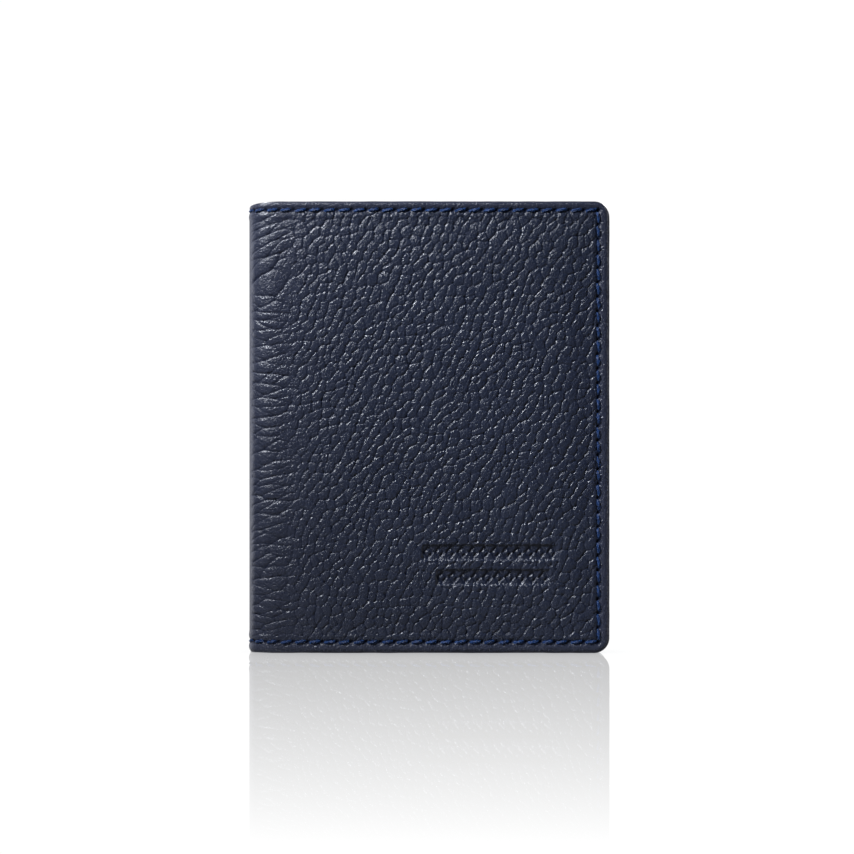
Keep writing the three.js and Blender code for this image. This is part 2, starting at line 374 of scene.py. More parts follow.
GRAIN_STEP = 0.18  # between the mesh's rows and columns
PEBBLE = 2.0  # how wide a pebble is
FINE_PEBBLE = 0.95
DOME = 0.04  # how far a pebble falls from its middle to its edge
SHOULDER = 0.13  # how far more it falls beside a crease
SHOULDER_WIDTH = 0.08  # as a share of a pebble
CREASE = 0.125  # how deep a crease is
CREASE_WIDTH = 0.042  # as a share of a pebble
GRAIN_ANGLE = math.radians(64)
SMOOTH_SPINE = 1.8  # the grain is pressed flat where the spine bends, this far from its middle
SPINE_GRAIN_END = (9.0, 15.0)  # the long creases round the spine give way to pebbles between these


def pebbles(x, y, size, salt, jitter, dome, shoulder, crease):
    """Rounded pebbles: how far down each place is, and how much it is in a crease between them."""
    out, (wide, narrow) = cells(x, y, size, salt, jitter, (SHOULDER_WIDTH * size, CREASE_WIDTH * size))
    return dome * np.minimum(out, 1.4) ** 2 + shoulder * wide + crease * narrow, narrow


def pebbled_grain(u, z, drift_u, drift_z, salt):
    """The panel's pebbles, with patches of finer ones over them."""
    along = drift_u * math.cos(GRAIN_ANGLE) + drift_z * math.sin(GRAIN_ANGLE)
    across = drift_z * math.cos(GRAIN_ANGLE) - drift_u * math.sin(GRAIN_ANGLE)
    depth, line = pebbles(along * 0.86, across * 1.08, PEBBLE, salt, 0.75, DOME, SHOULDER, CREASE)
    fine_depth, fine_line = pebbles(along * 0.9, across, FINE_PEBBLE, salt + 5, 0.85, 0.0, 0.045, 0.045)
    fine = smooth(0.5 + 1.2 * noise(u, z, 3.5, salt + 15))
    return depth + fine * fine_depth, np.maximum(line, 0.6 * fine * fine_line)


def creased_grain(z, drift_u, drift_z, salt):
    """The long creases round the spine, which fan upwards near the top, and shorter ones across them."""
    fan = 0.06 + 0.38 * smooth((z - 0.72 * HEIGHT) / 25) + 0.22 * noise(z * 0, z, 11.0, salt + 16)
    long_z = drift_z - fan * drift_u
    short_z = drift_z + (0.42 - fan) * drift_u
    depth, line = pebbles(
        drift_u * 0.32, long_z, PEBBLE, salt + 9, 0.85, DOME * 1.6, SHOULDER * 0.8, CREASE * 0.9
    )
    short_depth, short_line = pebbles(
        drift_u * 0.42, short_z, FINE_PEBBLE * 1.5, salt + 13, 0.9, 0.0, 0.02, CREASE * 0.5
    )
    return depth + short_depth, np.maximum(line, 0.7 * short_line)


def grain(u, z, salt):
    """The grain's relief, 0 or less, and how far each place is down in a crease, 0 to 1."""
    drift_u = u + 0.55 * noise(u, z, 6.0, salt + 20) + 0.14 * noise(u, z, 1.9, salt + 21)
    drift_z = z + 0.55 * noise(u, z, 6.0, salt + 22) + 0.14 * noise(u, z, 1.9, salt + 23)
    pebbled, pebbled_line = pebbled_grain(u, z, drift_u, drift_z, salt)
    creased, creased_line = creased_grain(z, drift_u, drift_z, salt)
    first, last = SPINE_GRAIN_END
    share = smooth((u + 1.5 * noise(u, z, 4.0, salt + 30) - first) / (last - first))
    fullness = 0.92 + 0.08 * smooth((u - last) / 12)
    relief = creased * (1 - share) + pebbled * share * fullness
    crease = creased_line * (1 - share) + pebbled_line * share
    return -relief, np.clip(crease, 0, 1)


STAMP_DEPTH = 0.36
STAMP_HEIGHT = 3.3
STAMP_ROWS = [(-1.4, 28.4, 22.3, 12), (1.7, 26.6, 16.8, 10)]  # first x, last x, z, how many lozenges
EDGE_TURN = 0.7  # how far in from the cut edge the leather begins to turn down
EDGE_DROP = 0.26
GROOVE_DEPTH = 0.20
GROOVE_WIDTH = 0.42
HOLE_DEPTH = 0.28
HOLE_WIDTH = 0.34


def stamp(u, z):
    """Two blind-stamped bands of plain lozenge outlines: 1 at the deepest, 0 outside."""
    deepest = np.zeros(u.shape)
    for first, last, middle, count in STAMP_ROWS:
        pitch = (last - first) / count
        along = u - u_of(first)
        inwards = np.minimum(np.minimum(along, last - first - along), STAMP_HEIGHT / 2 - np.abs(z - middle))
        band = smooth(inwards / 0.4 + 0.5)
        index = np.clip(np.floor(along / pitch), 0, count - 1)
        from_centre = np.abs(along - (index + 0.5) * pitch)
        reach = from_centre / (pitch / 2) + np.abs(z - middle) / (STAMP_HEIGHT * 0.46)
        outline = smooth((1 - reach) * 4 + 0.5) - smooth((0.45 - reach) * 4 + 0.5)
        deepest = np.maximum(deepest, band * (0.4 + 0.6 * outline))
    return deepest


def cover_relief(u, z, side):
    """The outer face's height over the flat cover, in millimetres, and how creased it is."""
    salt = SEEDS[side]
    relief, crease = grain(u, z, salt)
    seam = np.abs(seam_distance(u, z))
    edge = edge_distance(u, z)
    lip = smooth((SEAM_INSET - edge + 0.3) / 0.6)
    bend = smooth((u - SMOOTH_SPINE) / 2.4)
    calm = (1 - 0.8 * lip) * (1 - 0.55 * np.exp(-(seam / 0.9) ** 2)) * bend
    relief = relief * calm
    crease = crease * calm
    relief += (0.05 * noise(u, z, 22.0, salt + 40) + 0.025 * noise(u, z, 8.0, salt + 41)) * bend
    relief += 0.10 * np.exp(-((seam - 1.25) / 0.6) ** 2)
    inwards = np.maximum(-seam_distance(u, z), 0)
    relief += CROWN * (1 - np.exp(-((inwards / CROWN_LENGTH) ** 2))) * bend
    relief -= GROOVE_DEPTH * np.exp(-(seam / GROOVE_WIDTH) ** 2)
    for hole_u, hole_z in needle_holes():
        near = (np.abs(u - hole_u) < 1.2) & (np.abs(z - hole_z) < 1.2)
        away = np.hypot(u[near] - hole_u, z[near] - hole_z)
        relief[near] -= HOLE_DEPTH * np.exp(-((away / HOLE_WIDTH) ** 2))
        # The needle holes count as more than full crease, so the leather is painted darkest there, as painted
        # shade.
        crease[near] = np.maximum(crease[near], 1.45 * np.exp(-((away / 0.5) ** 2)))
    if side < 0:
        pressed = stamp(u, z)
        flattened = np.minimum(1.6 * pressed, 0.85)
        relief = relief * (1 - flattened) - STAMP_DEPTH * pressed
        # The stamp's recess counts as crease, so it is painted darker, as painted shade.
        crease = np.maximum(crease * (1 - flattened), 0.5 * pressed)
    turn = np.clip((EDGE_TURN - (edge - COAT)) / EDGE_TURN, 0, 1)
    relief -= EDGE_DROP * (1 - np.sqrt(np.maximum(1 - turn**2, 0)))
    return relief, crease


def painted_sheen_share(u, z):
    """How much the leather is painted paler, as painted sheen: most on the lip outside the seam, some beside
    the spine.
    """
    lip = smooth((SEAM_INSET + 0.3 - edge_distance(u, z)) / 1.0)
    return np.clip(0.8 * lip + 0.7 * np.exp(-np.maximum(u - ARC, 0) / 8), 0, 1)


def cover_leather(side, name, look):
    us = steps(0, U_EDGE - COAT, GRAIN_STEP)
    zs = steps(COAT, HEIGHT - COAT, GRAIN_STEP)
    bend = np.searchsorted(us, ARC + 0.5)
    inner_columns = sorted(set(range(0, bend, 2)) | set(range(bend, len(us), 24)) | {len(us) - 1})
    relief = {}

    def faces_of(u, z):
        relief["height"], relief["crease"] = cover_relief(u, z, side)
        return -relief["height"], np.full(u.shape, COVER_END)

    def attributes_of(u, z):
        return {"crease": relief["crease"], "painted_sheen": painted_sheen_share(u, z)}

    return sheet(name, us, zs, COAT, side, faces_of, look, inner_columns, attributes_of)


# The lining and the pockets


def lining(side, name, look):
    us = np.concatenate([steps(0, ARC + 1, 0.35)[:-1], steps(ARC + 1, U_EDGE - COAT, 1.6)])
    zs = fine_ends(COAT, HEIGHT - COAT, 0.35, 1.4, 4.2, 4.2)
    salt = SEEDS[side] + 60

    def faces_of(u, z):
        seam = np.abs(seam_distance(u, z))
        give = 0.03 * noise(u, z, 6.0, salt) + 0.05 * noise(u * 3, z, 9.0, salt + 1) * (u < ARC + 4)
        inner = LINING_END + give - 0.14 * np.exp(-(seam / 0.5) ** 2)
        return np.full(u.shape, LINING_START), inner

    return sheet(name, us, zs, COAT, side, faces_of, look)


def pocket_leaf(side, name, node, room, look):
    """A pocket's leaf, pressed down to the layer behind it at its three sewn sides, and open at its mouth."""
    start, end = front_depths("front_" + node)
    mouth = u_of(corners("front_" + node)[0][0])
    lead = mouth + np.array([0, 0.05, 0.12, 0.22, 0.36, 0.55, 0.8, 1.0, 1.2, 1.4, 1.7])
    rest = fine_ends(mouth + 2.1, U_EDGE - COAT, 0.32, 1.3, 0.64, 4.4)
    us = np.concatenate([lead, rest])
    zs = fine_ends(COAT, HEIGHT - COAT, 0.32, 1.3, 4.4, 4.4)
    salt = SEEDS[side] + len(node) + 80

    def faces_of(u, z):
        edge = edge_distance(u, z)
        seam = np.abs(seam_distance(u, z))
        sewn = smooth((3.2 - edge) / 0.7)
        outer = start - sewn * (room - 0.03)
        inner = end - 0.34 * np.exp(-(seam / 0.55) ** 2) - 0.02
        inner += 0.03 * noise(u, z, 14.0, salt) - 0.03
        crease = u - mouth - 1.2
        inner -= 0.13 * np.exp(-(crease / 0.2) ** 2) * (1 - sewn)
        lip = np.clip(1 - (u - mouth) / 0.3, 0, 1)
        turned = 1 - np.sqrt(np.maximum(1 - lip**2, 0))
        inner -= 0.2 * turned
        outer += 0.12 * turned * (1 - sewn)
        return outer, inner

    def attributes_of(u, z):
        paint = smooth(1.25 - (u - mouth) / 0.28)
        groove = np.exp(-((u - mouth - 1.2) / 0.2) ** 2) + np.exp(-(np.abs(seam_distance(u, z)) / 0.5) ** 2)
        return {"paint": paint, "crease": np.clip(groove, 0, 1)}

    return sheet(name, us, zs, COAT, side, faces_of, look, None, attributes_of)


# Thread

PLIES = 3
PLY_TWIST = 2 * math.pi / 3.4  # radians per millimetre
ROUND = 15  # points round the thread
STATIONS = 13  # rings along a stitch


def inner_surface(u):
    """The depth of the panel's inner face along the seam, which climbs a step at each pocket's mouth."""
    depth = np.full(np.shape(u), LINING_END)
    for node in POCKETS:
        mouth = u_of(corners("front_" + node)[0][0])
        end = front_depths("front_" + node)[1]
        depth = depth + (end - depth) * smooth((u - mouth + 0.35) / 0.5)
    return depth


def stitches(side, name, inside, look):
    """One seam's stitches, each a twisted thread that dives into a needle hole at both ends."""
    t = np.linspace(0, 1, STATIONS)[:, None]
    turn = np.linspace(0, 2 * math.pi, ROUND, endpoint=False)[None, :]
    arch = 1 - np.abs(2 * t - 1) ** 2.4
    thin = 0.62 + 0.38 * (1 - np.abs(2 * t - 1) ** 5)
    ring = np.arange(ROUND)
    following = (ring + 1) % ROUND
    points, uvs, shades, faces = [], [], [], []
    count_all = 0
    for leg, (start, along, left, length) in enumerate(seam_legs()):
        count = round(length / STITCH_PITCH)
        pitch = length / count
        for i in range(count):
            key = np.array([leg * 1000 + i])
            wobble = [float(hashed(key, key * 0 + k, SEEDS[side] + 7 * inside)[0]) - 0.5 for k in range(5)]
            middle = start + along * pitch * (i + 0.5 + 0.05 * wobble[0]) + left * 0.10 * wobble[1]
            half_length = STITCH_LENGTH / 2 * (1 + 0.08 * wobble[2])
            slant = STITCH_SLANT * (1 + 0.6 * wobble[3]) * (-1 if inside else 1)
            bow = 0.12 * np.sin(math.pi * t)
            run = (2 * t - 1) * half_length
            shift = (2 * t - 1) * slant + bow * slant
            twist = PLY_TWIST * run * (1 if inside else -1) + 6.28 * wobble[4]
            lobes = 1 + 0.2 * np.cos(PLIES * (turn + twist))
            radius = THREAD_RADIUS * thin * lobes
            sideways = shift + radius * np.cos(turn)
            u = middle[0] + along[0] * run + left[0] * sideways
            z = middle[1] + along[1] * run + left[1] * sideways
            centre_line = middle[0] + along[0] * run + left[0] * shift
            if inside:
                height = -0.42 + 0.30 * arch
                depth = inner_surface(np.abs(centre_line)) + height + 0.62 * radius * np.sin(turn)
            else:
                height = -0.34 + 0.42 * arch - SUNK_AT_SPINE * np.exp(-((np.abs(centre_line) / 2.8) ** 2))
                depth = -(height + 0.9 * radius * np.sin(turn))
            points.append(wrap(u, z, np.broadcast_to(depth, u.shape), side).reshape(-1, 3))
            uv = np.broadcast_arrays(run + i * pitch, turn * THREAD_RADIUS)
            uvs.append(np.stack(uv, -1).reshape(-1, 2))
            shades.append(np.full(ROUND * STATIONS, wobble[2] + 0.5))
            base = count_all * ROUND * STATIONS
            for s in range(STATIONS - 1):
                lower, upper = base + s * ROUND, base + (s + 1) * ROUND
                quads = [lower + ring, lower + following, upper + following, upper + ring]
                faces += np.stack(quads, -1).tolist()
            faces.append((base + ring[::-1]).tolist())
            faces.append((base + (STATIONS - 1) * ROUND + ring).tolist())
            count_all += 1
    if (side > 0) != inside:
        faces = [face[::-1] for face in faces]
    attributes = {"shade": np.concatenate(shades)}
    return make_mesh(name, np.concatenate(points), faces, np.concatenate(uvs) * UV_SCALE, look, attributes)


# Painted edges


def outline_path(start):
    """The cover's outline from a u on the top edge, round the opening edge and back along the foot.

    Gives its points and the directions that point outwards from them.
    """
    top_u = steps(start, U_EDGE - CORNER, 0.5)
    bend = np.linspace(math.pi / 2, 0, 15)[1:-1]
    down = steps(CORNER, HEIGHT - CORNER, 0.5)[::-1]
    points = [(u, HEIGHT) for u in top_u]
    points += [(U_EDGE - CORNER + CORNER * math.cos(a), HEIGHT - CORNER + CORNER * math.sin(a)) for a in bend]
    points += [(U_EDGE, z) for z in down]
    points += [(U_EDGE - CORNER + CORNER * math.sin(a), CORNER - CORNER * math.cos(a)) for a in bend]
    points += [(u, 0.0) for u in top_u[::-1]]
    path = np.array(points)
    _, z = fit_outline(path[:, 0], path[:, 1], 0.0)
    straight = path[:, 0] < U_EDGE - CORNER
    path[straight, 1] = z[straight]
    ahead = np.gradient(path, axis=0)
    ahead /= np.linalg.norm(ahead, axis=1)[:, None]
    return path, np.stack([-ahead[:, 1], ahead[:, 0]], -1)


BEAD_GROOVE = 0.13


def bead(start, first, last, salt, side):
    """A painted layer of the edge: a rounded strip between two depths. Gives its points, faces and UVs."""
    path, outward = outline_path(start)
    across = np.linspace(0, 1, 9)
    rounding = np.where((across < 0.5) & (first == 0), 0.3, BEAD_GROOVE)
    bulge = (1 - np.abs(2 * across - 1) ** 3.4) ** (1 / 2)
    out = np.concatenate([rounding * (bulge - 1), [-0.55, -0.55]])
    depth = np.concatenate([first + (last - first) * across, [last - 0.03, first + 0.03]])
    length = np.concatenate([[0], np.cumsum(np.linalg.norm(np.diff(path, axis=0), axis=1))])
    uneven = 0.03 * noise(length, length * 0, 3.1, salt) + 0.012 * noise(length, length * 0, 1.3, salt + 1)
    n_path, n_ring = len(path), len(out)
    push = out[None, :] + (uneven[:, None] - 0.03) * (out > -0.5)[None, :]
    u = path[:, :1] + outward[:, :1] * push
    z = path[:, 1:] + outward[:, 1:] * push
    points = wrap(u, z, np.broadcast_to(depth, u.shape), side).reshape(-1, 3)
    uv = np.stack(np.broadcast_arrays(length[:, None], depth[None, :]), -1).reshape(-1, 2)
    index = np.arange(n_path * n_ring).reshape(n_path, n_ring)
    following = np.roll(index, -1, axis=1)
    quads = np.stack([index[:-1], following[:-1], following[1:], index[1:]], -1).reshape(-1, 4)
    faces = quads.tolist() + [index[0][::-1].tolist(), index[-1].tolist()]
    return points, faces, uv


def edge_coat(side, name, look):
    layers = [(0.0, 0.2, COVER_END + 0.01), (0.0, COVER_END + 0.03, LINING_END)]
    last = LINING_END
    for node in POCKETS:
        end = front_depths("front_" + node)[1]
        layers.append((u_of(corners("front_" + node)[0][0]), last + 0.02, end - 0.01))
        last = end
    points, faces, uvs, count = [], [], [], 0
    for k, (start, first, end) in enumerate(layers):
        bead_points, bead_faces, bead_uv = bead(start, first, end, SEEDS[side] + 100 + k, side)
        points.append(bead_points)
        uvs.append(bead_uv)
        faces += [[v + count for v in face] for face in bead_faces]
        count += len(bead_points)
    if side > 0:
        faces = [face[::-1] for face in faces]
    return make_mesh(name, np.concatenate(points), faces, np.concatenate(uvs) * UV_SCALE, look)


# Materials


class Look:
    """A material being built: short calls for its nodes and links."""

    def __init__(self, name):
        self.material = bpy.data.materials.new(name)
        self.material.use_nodes = True
        self.tree = self.material.node_tree
        self.surface = self.tree.nodes["Principled BSDF"]

    def node(self, kind, inputs=None, **settings):
        made = self.tree.nodes.new("ShaderNode" + kind)
        for key, value in settings.items():
            setattr(made, key, value)
        for key, value in (inputs or {}).items():
            self.set(made.inputs[key], value)
        return made

    def set(self, socket, value):
        if hasattr(value, "links"):
            self.tree.links.new(value, socket)
        else:
            socket.default_value = value

    def surface_set(self, **inputs):
        for key, value in inputs.items():
            self.set(self.surface.inputs[key.replace("_", " ")], value)

    def panel(self, stretch=(1.0, 1.0, 1.0)):
        """The place on the panel, in millimetres."""
        uv = self.node("UVMap", uv_map="panel").outputs["UV"]
        scale = tuple(s / UV_SCALE for s in stretch)
        return self.node("VectorMath", {0: uv, 1: scale}, operation="MULTIPLY").outputs[0]

    def attribute(self, label):
        return self.node("Attribute", attribute_name=label).outputs["Fac"]

    def noise(self, vector, scale, detail=2.0, roughness=0.5):
        inputs = {"Vector": vector, "Scale": scale, "Detail": detail, "Roughness": roughness}
        return self.node("TexNoise", inputs).outputs["Fac"]

    def cells(self, vector, scale):
        inputs = {"Vector": vector, "Scale": scale}
        return self.node("TexVoronoi", inputs, feature="DISTANCE_TO_EDGE").outputs["Distance"]

    def math(self, operation, a, b=0.0, clamp=False):
        return self.node("Math", {0: a, 1: b}, operation=operation, use_clamp=clamp).outputs[0]

    def spread(self, value, low, high, to_low, to_high):
        inputs = {"Value": value, "From Min": low, "From Max": high, "To Min": to_low, "To Max": to_high}
        return self.node("MapRange", inputs).outputs[0]

    def mix(self, share, first, second):
        made = self.node("Mix", data_type="RGBA")
        self.set(made.inputs[0], share)
        for socket, value in ((made.inputs[6], first), (made.inputs[7], second)):
            self.set(socket, value if hasattr(value, "links") else (*value, 1.0))
        return made.outputs[2]

    def bump(self, height, distance, before=None):
        inputs = {"Height": height, "Distance": distance * MM, "Strength": 1.0}
        if before is not None:
            inputs["Normal"] = before
        return self.node("Bump", inputs).outputs[0]


def pebbled_leather():
    look = Look("pebbled_leather")
    place = look.panel()
    crease = look.attribute("crease")
    patches = look.noise(place, 0.07, 3.0)
    share = look.spread(patches, 0.35, 0.65, 0, 1)
    tone = look.mix(share, (0.0070, 0.0106, 0.0245), (0.0090, 0.0130, 0.0280))
    worn = look.spread(look.noise(place, 1.3, 3.0), 0.45, 0.75, 0, 0.35)
    tone = look.mix(worn, tone, (0.0114, 0.0158, 0.0320))
    # Painted sheen: the lip outside the seam and the side of the spine are painted paler, standing in for the
    # light they catch.
    painted_sheen = look.attribute("painted_sheen")
    painted_sheen = look.math("MULTIPLY", painted_sheen, look.spread(look.noise(place, 0.8, 3.0), 0.3, 0.7, 0.6, 1))
    tone = look.mix(painted_sheen, tone, (0.0170, 0.0203, 0.0380))
    # Painted shade: the creases, needle holes and the stamp's recess are painted darker.
    painted_crease_shade = look.math("MULTIPLY", crease, 0.65)
    tone = look.mix(painted_crease_shade, tone, (0.0024, 0.0040, 0.0120))
    wrinkles = look.cells(place, 1.3)
    pores = look.noise(place, 4.0, 3.0, 0.6)
    wrinkle_height = look.spread(wrinkles, 0.0, 0.22, 0, 1)
    from_spine = look.math("ABSOLUTE", look.node("SeparateXYZ", {0: place}).outputs[0])
    pressed = look.spread(from_spine, 2.0, 9.0, 0.45, 1.0)
    normal = look.bump(look.math("MULTIPLY", wrinkle_height, pressed), 0.05)
    normal = look.bump(look.math("MULTIPLY", pores, pressed), 0.055, normal)
    rough = look.spread(look.noise(place, 3.2, 4.0), 0.3, 0.7, 0.26, 0.36)
    rough = look.math("ADD", rough, look.math("MULTIPLY", crease, 0.2))
    rough = look.math("ADD", rough, look.spread(from_spine, 3.0, 9.0, 0.07, 0.0))
    shine = look.spread(crease, 0, 1, 0.45, 0.05)
    look.surface_set(Base_Color=tone, Roughness=rough, Normal=normal, Specular_IOR_Level=shine)
    return look.material


def pocket_leather():
    look = Look("pocket_leather")
    place = look.panel()
    paint = look.attribute("paint")
    crease = look.attribute("crease")
    patches = look.noise(place, 0.09, 3.0)
    share = look.spread(patches, 0.35, 0.65, 0, 1)
    tone = look.mix(share, (0.0140, 0.0175, 0.0300), (0.0200, 0.0245, 0.0390))
    # Painted shade: the crease by the mouth and the groove along the seam are painted darker.
    tone = look.mix(look.math("MULTIPLY", crease, 0.6), tone, (0.006, 0.008, 0.014))
    tone = look.mix(paint, tone, (0.021, 0.024, 0.040))
    grain_lines = look.cells(look.panel((1.0, 0.8, 1.0)), 0.8)
    pores = look.noise(place, 5.0, 3.0, 0.6)
    calm = look.math("SUBTRACT", 1.0, paint)
    grain_height = look.math("MULTIPLY", look.spread(grain_lines, 0.0, 0.22, 0, 1), calm)
    # Painted shade: the grain's lines are painted darker.
    tone = look.mix(look.spread(grain_height, 0.0, 0.7, 0.5, 0.0), tone, (0.006, 0.008, 0.014))
    normal = look.bump(grain_height, 0.12)
    normal = look.bump(pores, 0.05, normal)
    rough = look.spread(look.noise(place, 2.5, 4.0), 0.3, 0.7, 0.32, 0.46)
    rough = look.math("SUBTRACT", rough, look.math("MULTIPLY", paint, 0.12))
    look.surface_set(Base_Color=tone, Roughness=rough, Normal=normal, Specular_IOR_Level=0.5)
    return look.material


def twill():
    look = Look("twill_lining")
    place = look.panel()
    split = look.node("SeparateXYZ", {0: place})
    diagonal = look.math("ADD", split.outputs[0], split.outputs[1])
    ribs = look.math("SINE", look.math("MULTIPLY", diagonal, 2 * math.pi / 0.85))
    ends = look.math("SINE", look.math("MULTIPLY", split.outputs[1], 2 * math.pi / 0.43))
    ribs = look.spread(ribs, -1, 1, 0, 1)
    ends = look.spread(ends, -1, 1, 0, 1)
    height = look.math("ADD", look.math("MULTIPLY", ribs, 0.7), look.math("MULTIPLY", ends, 0.3))
    slubs = look.noise(place, 0.9, 3.0)
    # Painted shade and light: the weave's low places are painted darker and its ribs paler, following the
    # bump's height.
    tone = look.mix(height, (0.004, 0.0055, 0.011), (0.024, 0.030, 0.052))
    tone = look.mix(look.spread(slubs, 0.4, 0.7, 0, 0.35), tone, (0.028, 0.034, 0.056))
    normal = look.bump(height, 0.10)
    look.surface_set(Base_Color=tone, Roughness=0.72, Normal=normal, Specular_IOR_Level=0.35)
    look.surface_set(Sheen_Weight=0.25, Sheen_Roughness=0.5, Sheen_Tint=(0.35, 0.42, 0.65, 1))
    return look.material


def thread():
    look = Look("blue_thread")
    place = look.panel()
    shade = look.attribute("shade")
    split = look.node("SeparateXYZ", {0: place})
    lengthwise = look.math("MULTIPLY", split.outputs[0], 2.2)
    crosswise = look.math("MULTIPLY", split.outputs[1], 5.5)
    lay = look.math("ADD", lengthwise, crosswise)
    strands_and_painted_shade = look.spread(look.math("SINE", look.math("MULTIPLY", lay, 9.0)), -1, 1, 0, 1)
    fuzz_and_painted_glints = look.noise(look.panel((1.0, 3.0, 1.0)), 9.0, 3.0)
    tone = look.mix(shade, (0.0008, 0.0140, 0.0660), (0.0018, 0.0220, 0.0960))
    # Painted highlight: bright streaks along the thread.
    tone = look.mix(look.spread(fuzz_and_painted_glints, 0.45, 0.75, 0, 0.7), tone, (0.008, 0.046, 0.165))
    # Painted shade along the twist of the plies.
    tone = look.mix(look.math("MULTIPLY", strands_and_painted_shade, 0.5), tone, (0.0008, 0.0050, 0.0240))
    normal = look.bump(strands_and_painted_shade, 0.03)
    normal = look.bump(fuzz_and_painted_glints, 0.02, normal)
    look.surface_set(Base_Color=tone, Roughness=0.46, Normal=normal, Specular_IOR_Level=0.28)
    look.surface_set(Sheen_Weight=0.10, Sheen_Tint=(0.3, 0.5, 1.0, 1))
    return look.material


def edge_paint():
    look = Look("edge_paint")
    place = look.panel()
    patches = look.noise(place, 0.5, 3.0)
    brushed = look.noise(look.panel((0.35, 2.2, 1.0)), 3.0, 4.0)
    share = look.spread(patches, 0.35, 0.65, 0, 1)
    tone = look.mix(share, (0.0150, 0.0170, 0.0300), (0.0220, 0.0245, 0.0400))
    normal = look.bump(brushed, 0.02)
    rough = look.spread(patches, 0.3, 0.7, 0.34, 0.48)
    look.surface_set(Base_Color=tone, Roughness=rough, Normal=normal)
    look.surface_set(Specular_IOR_Level=0.55, Coat_Weight=0.15)
    return look.material


def fibre_board():
    look = Look("fibre_board")
    place = look.node("TexCoord").outputs["Object"]
    fibres = look.noise(place, 1800.0, 4.0, 0.7)
    flecks = look.noise(place, 420.0, 2.0)
    tone = look.mix(look.spread(fibres, 0.35, 0.65, 0, 1), (0.11, 0.080, 0.050), (0.20, 0.150, 0.100))
    tone = look.mix(look.spread(flecks, 0.55, 0.7, 0, 0.5), tone, (0.06, 0.045, 0.03))
    look.surface_set(Base_Color=tone, Roughness=0.9, Normal=look.bump(fibres, 0.05))
    return look.material


# Pieces

LOOKS = {
    "pebbled_leather": pebbled_leather(),
    "pocket_leather": pocket_leather(),
    "twill": twill(),
    "thread": thread(),
    "edge_paint": edge_paint(),
    "board": fibre_board(),
}


def bend_with(piece, side, depth):
    """Bakes the piece's transform into its mesh; the spine's middle and the curve's end are worked out but
    not used.
    """
    start, end = (Vector(wrap(u, HEIGHT / 2, depth, side).tolist()) for u in (0.0, ARC))
    if side < 0:
        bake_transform(piece)
    else:
        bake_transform(piece)


def build_panel(side, word):
    leather = cover_leather(side, word + "_pebbled_leather", LOOKS["pebbled_leather"])
    bend_with(leather, side, COVER_END / 2)
    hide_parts(word + "_cover", "spine_cover")

    cloth = lining(side, word + "_twill_lining", LOOKS["twill"])
    bend_with(cloth, side, LINING_END)
    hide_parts(word + "_lining", "spine_lining")

    for inside, kind in ((False, "needle"), (True, "bobbin")):
        seam = stitches(side, word + "_" + kind + "_stitches", inside, LOOKS["thread"])
        bend_with(seam, side, LINING_END if inside else 0.0)
        ends = ["spine_" + kind + "_thread_top", "spine_" + kind + "_thread_bottom"]
        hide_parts(word + "_" + kind + "_thread", *ends)

    coat = edge_coat(side, word + "_painted_edge", LOOKS["edge_paint"])
    bend_with(coat, side, COVER_END / 2)
    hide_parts(word + "_edge_coat", "spine_edge_coat_top", "spine_edge_coat_bottom")

    behind = LINING_END
    for node in POCKETS:
        start, end = front_depths("front_" + node)
        leaf = pocket_leaf(side, word + "_" + node + "_leaf", node, start - behind, LOOKS["pocket_leather"])
        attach(leaf, word + "_cover")
        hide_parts(word + "_" + node)
        behind = end

    for node, look in (("_stiffener", "board"), ("_pocket_stop_thread", "thread")):
        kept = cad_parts[word + node]
        kept.data.materials.clear()
        kept.data.materials.append(LOOKS[look])


build_panel(-1, "front")
build_panel(1, "back")


# Stage

CAMERA_DISTANCE = 600.0
FRAME_WIDTH = 188.8  # what the picture spans at the front cover
SIDE_SHIFT = 0.41
FLOOR_SIZE = 4.0
MIRROR_AT_FOOT = 0.47  # the floor's share of mirror there
MIRROR_REACH = 43.0  # how far below the foot the reflection shows, measured on the front cover's plane
PALE = 1.02  # how bright the floor and the world are to the camera
FLOOR_GLOW = 0.2  # and to everything else
WORLD_GLOW = 0.03


def stage_floor():
    bpy.ops.mesh.primitive_plane_add(size=FLOOR_SIZE, location=(0, 0, -0.00005))
    floor = bpy.context.object
    floor.name = "floor"
    look = Look("pale_floor")
    nodes = look.tree.nodes
    nodes.remove(look.surface)
    position = look.node("NewGeometry").outputs["Position"]
    split = look.node("SeparateXYZ", {0: position})
    # The floor's place under the camera's line of sight, seen on the front cover's plane
    ahead = look.math("MULTIPLY", look.math("ADD", split.outputs[1], HALF * MM), -1.0)
    left = look.math("SUBTRACT", CAMERA_DISTANCE * MM, ahead)
    below = look.math("DIVIDE", look.math("MULTIPLY", ahead, HEIGHT / 2 * MM), left)
    share = look.spread(below, 0.0, MIRROR_REACH * MM, MIRROR_AT_FOOT, 0.0)
    in_front = look.math("GREATER_THAN", left, 0.0)
    share = look.math("MULTIPLY", share, in_front, clamp=True)
    facing = look.node("LayerWeight", {"Blend": 0.5}).outputs["Facing"]
    share = look.math("MULTIPLY", share, look.spread(facing, 0.5, 0.8, 0.15, 1.0))
    shade = look.node("AmbientOcclusion", {"Distance": 0.012}, samples=8).outputs["AO"]
    pale = look.mix(shade, (0.80, 0.81, 0.83), (1.0, 1.0, 1.0))
    seen = look.node("LightPath").outputs["Is Camera Ray"]
    strength = look.spread(seen, 0, 1, FLOOR_GLOW, PALE)
    glow = look.node("Emission", {"Color": pale, "Strength": strength})
    mirror = look.node("BsdfGlossy", {"Color": (1, 1, 1, 1), "Roughness": 0.0})
    both = look.node("MixShader", {0: share, 1: glow.outputs[0], 2: mirror.outputs[0]})
    output = nodes["Material Output"]
    look.set(output.inputs["Surface"], both.outputs[0])
    floor.data.materials.append(look.material)


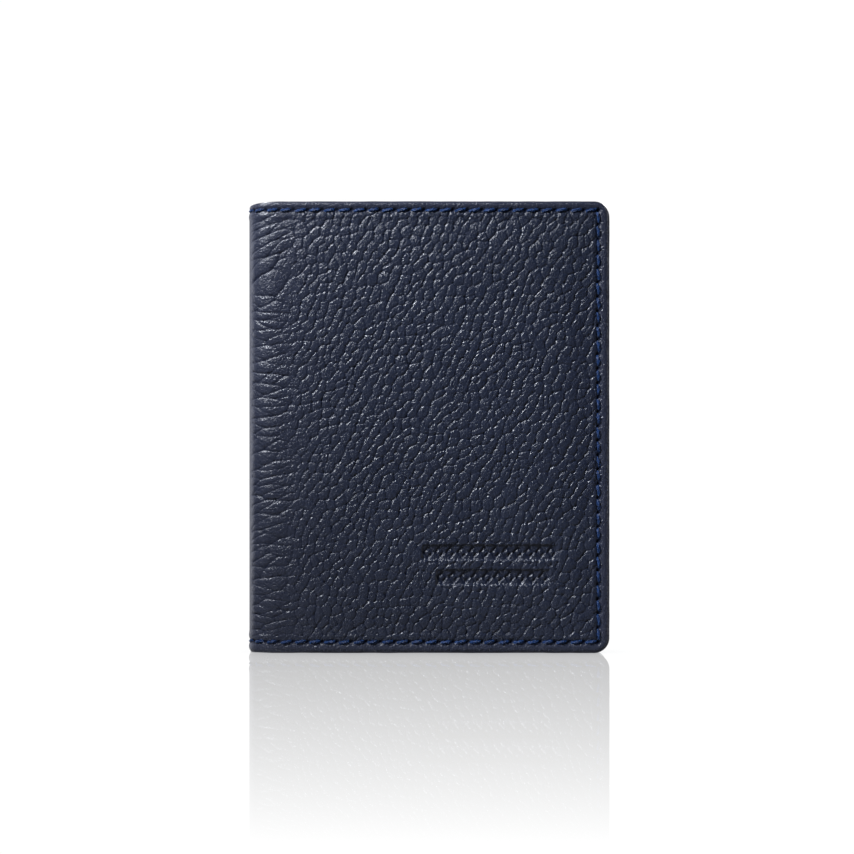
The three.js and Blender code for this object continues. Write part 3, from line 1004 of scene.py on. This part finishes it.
def stage_world():
    world = bpy.data.worlds.new("studio")
    bpy.context.scene.world = world
    world.use_nodes = True
    tree = world.node_tree
    background = tree.nodes["Background"]
    background.inputs["Color"].default_value = (1.0, 1.0, 1.0, 1)
    rays = tree.nodes.new("ShaderNodeLightPath")
    spread = tree.nodes.new("ShaderNodeMapRange")
    spread.inputs["To Min"].default_value = WORLD_GLOW
    spread.inputs["To Max"].default_value = PALE
    seen = tree.nodes.new("ShaderNodeMath")
    seen.operation = "MAXIMUM"
    tree.links.new(rays.outputs["Is Camera Ray"], seen.inputs[0])
    tree.links.new(rays.outputs["Is Singular Ray"], seen.inputs[1])
    tree.links.new(seen.outputs[0], spread.inputs["Value"])
    tree.links.new(spread.outputs[0], background.inputs["Strength"])


def soft_light(name, place, target, width, height, watts, colour, spread=180.0):
    data = bpy.data.lights.new(name, "AREA")
    data.shape = "RECTANGLE"
    data.size, data.size_y = width, height
    data.energy = watts
    data.color = colour
    data.spread = math.radians(spread)
    lamp = bpy.data.objects.new(name, data)
    lamp.location = place
    lamp.rotation_euler = (Vector(target) - Vector(place)).to_track_quat("-Z", "Y").to_euler()
    bpy.context.scene.collection.objects.link(lamp)


def stage_camera():
    data = bpy.data.cameras.new("camera")
    data.sensor_width = 36.0
    data.lens = data.sensor_width * CAMERA_DISTANCE / FRAME_WIDTH
    data.clip_end = 10.0
    camera = bpy.data.objects.new("camera", data)
    camera.location = Vector((-SIDE_SHIFT, -HALF - CAMERA_DISTANCE, HEIGHT / 2 + 0.03)) * MM
    camera.rotation_euler = (math.pi / 2, 0, 0)
    bpy.context.scene.collection.objects.link(camera)
    bpy.context.scene.camera = camera


stage_floor()
stage_world()
soft_light("key", (-0.22, -0.20, 0.33), (0.036, 0, 0.034), 0.08, 0.08, 0.205, (0.90, 0.935, 1.0), 38.0)
soft_light("strip", (-0.30, -0.55, 0.20), (-0.03, 0, 0.07), 0.10, 0.25, 0.16, (0.90, 0.93, 1.0))
soft_light("left rim", (-0.60, 0.34, 0.10), (-0.03, 0, 0.05), 0.6, 0.8, 2.5, (0.88, 0.90, 1.0))
soft_light("top rim", (0, 0.5, 0.75), (0, 0, 0.08), 0.7, 0.4, 1.2, (0.88, 0.90, 1.0))
soft_light("right rim", (0.60, 0.14, 0.16), (0.03, 0, 0.05), 0.5, 0.7, 3.2, (0.92, 0.93, 1.0))
soft_light("back key", (0.28, 0.25, 0.34), (0, 0, 0.06), 0.12, 0.12, 3.2, (0.93, 0.96, 1.0))
stage_camera()
bpy.context.scene.view_settings.view_transform = "Standard"
